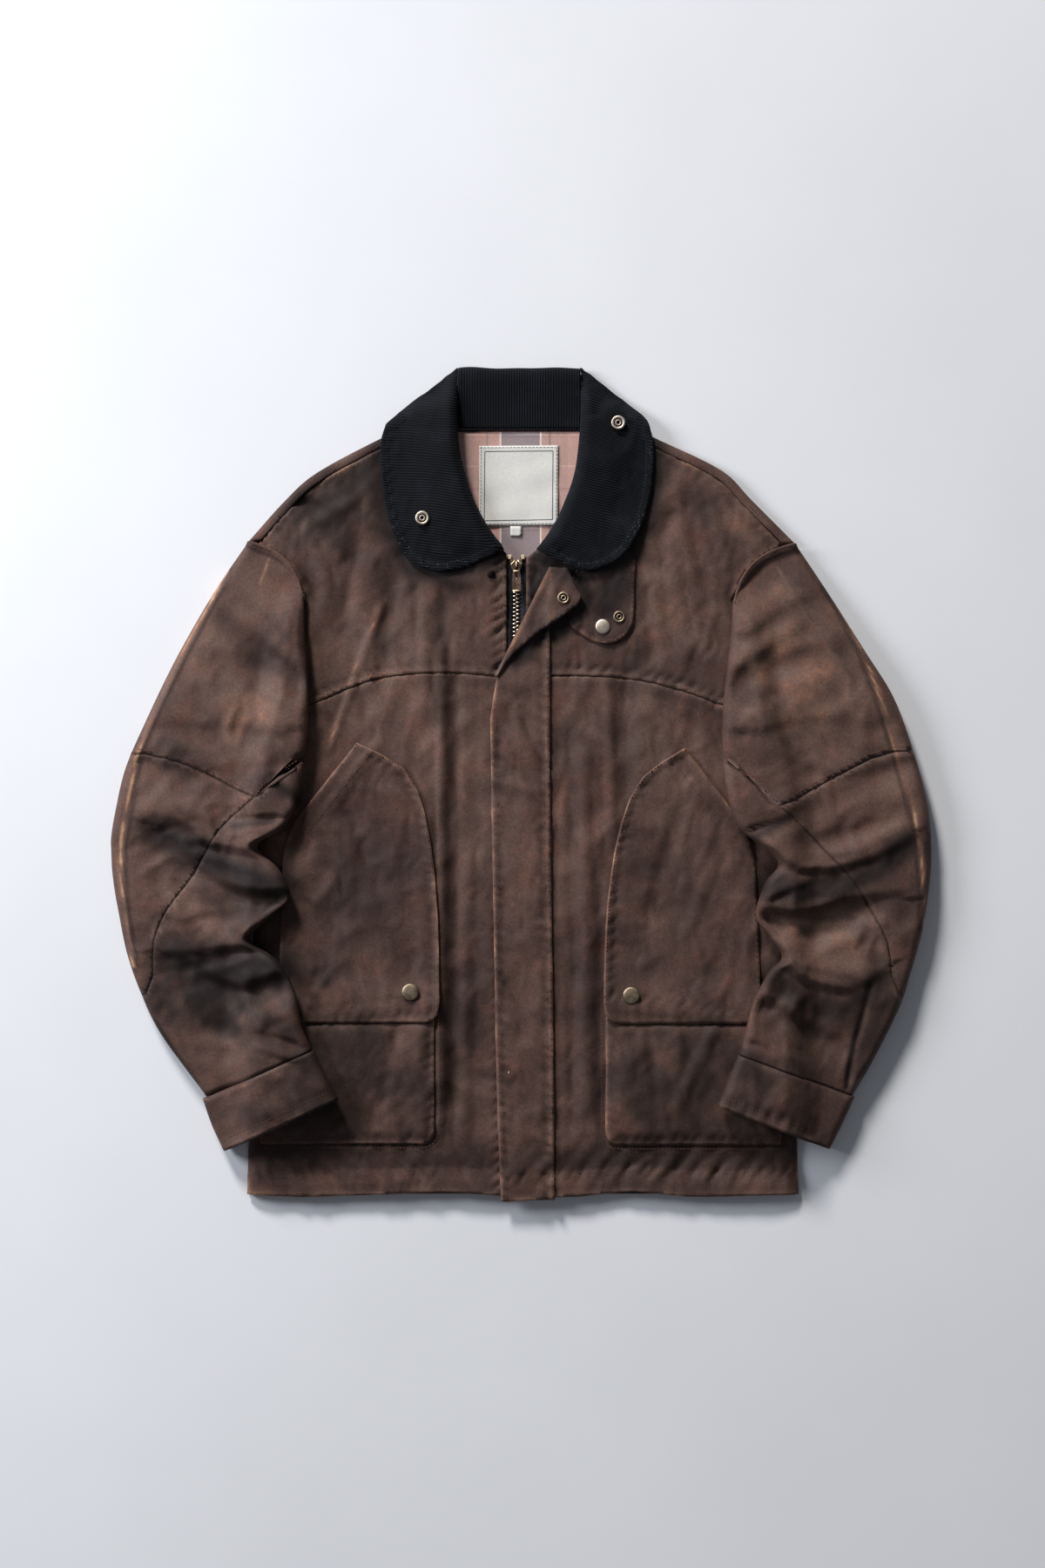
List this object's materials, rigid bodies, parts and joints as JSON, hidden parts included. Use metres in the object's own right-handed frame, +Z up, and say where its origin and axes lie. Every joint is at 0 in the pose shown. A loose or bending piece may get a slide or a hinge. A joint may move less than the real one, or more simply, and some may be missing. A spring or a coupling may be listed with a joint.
{
  "type": "waxed cotton jacket",
  "caption": "Waxed cotton field jacket laid flat on its back: corduroy collar, front zip under a storm flap, patch pockets with bellows bags, and sleeves folded down at the sides.",
  "frame": {"origin": "middle of the jacket's outline, on the surface it lies on", "axes": "+X across the jacket to the wearer's left sleeve, +Y from hem to collar, +Z up out of the front"},
  "size_m": [0.7495, 0.7634, 0.0333],
  "materials": {
    "waxed_cotton": "waxed cotton canvas, worn and blotchy, semi-matt",
    "black_corduroy": "black cotton corduroy, fine wales, matt",
    "check_lining": "woven check cotton lining, matt",
    "label_cloth": "off-white woven label cloth, matt",
    "zip_tape": "black woven zip tape, matt",
    "antique_brass": "antique brass, dulled",
    "pale_nickel": "nickel-plated brass, lightly worn"
  },
  "bodies": {
    "root": {"back_panel": "waxed_cotton", "yoke_r": "waxed_cotton", "yoke_l": "waxed_cotton", "front_r": "waxed_cotton", "front_l": "waxed_cotton", "storm_flap": "waxed_cotton", "throat_latch": "waxed_cotton", "pocket_flap_r": "waxed_cotton", "pocket_flap_l": "waxed_cotton", "pocket_bag_r": "waxed_cotton", "pocket_bag_l": "waxed_cotton", "sleeve_upper_r": "waxed_cotton", "sleeve_upper_l": "waxed_cotton", "sleeve_elbow_r": "waxed_cotton", "sleeve_elbow_l": "waxed_cotton", "sleeve_forearm_r": "waxed_cotton", "sleeve_forearm_l": "waxed_cotton", "cuff_r": "waxed_cotton", "cuff_l": "waxed_cotton", "collar_back": "black_corduroy", "collar_leaf_r": "black_corduroy", "collar_leaf_l": "black_corduroy", "back_lining": "check_lining", "neck_label": "label_cloth", "size_tab": "label_cloth", "zip_tape_r": "zip_tape", "zip_tape_l": "zip_tape", "zip_chain": "antique_brass", "zip_stop_r": "antique_brass", "zip_stop_l": "antique_brass", "zip_slider": "antique_brass", "snap_pocket_r": "antique_brass", "snap_pocket_l": "antique_brass", "socket_latch": "antique_brass", "socket_flap": "antique_brass", "stud_neck": "antique_brass", "snap_latch": "pale_nickel", "socket_collar_r": "pale_nickel", "socket_collar_l": "pale_nickel"},
    "zip_pull": {"zip_pull": "antique_brass"}
  },
  "joints": [
    {"name": "zip_pull_hinge", "type": "hinge", "parent": "root", "child": "zip_pull", "pos_m": [-0.004, 0.201, 0.0122], "axis": [-1, 0, 0], "range_deg": [0, 150]}
  ]
}
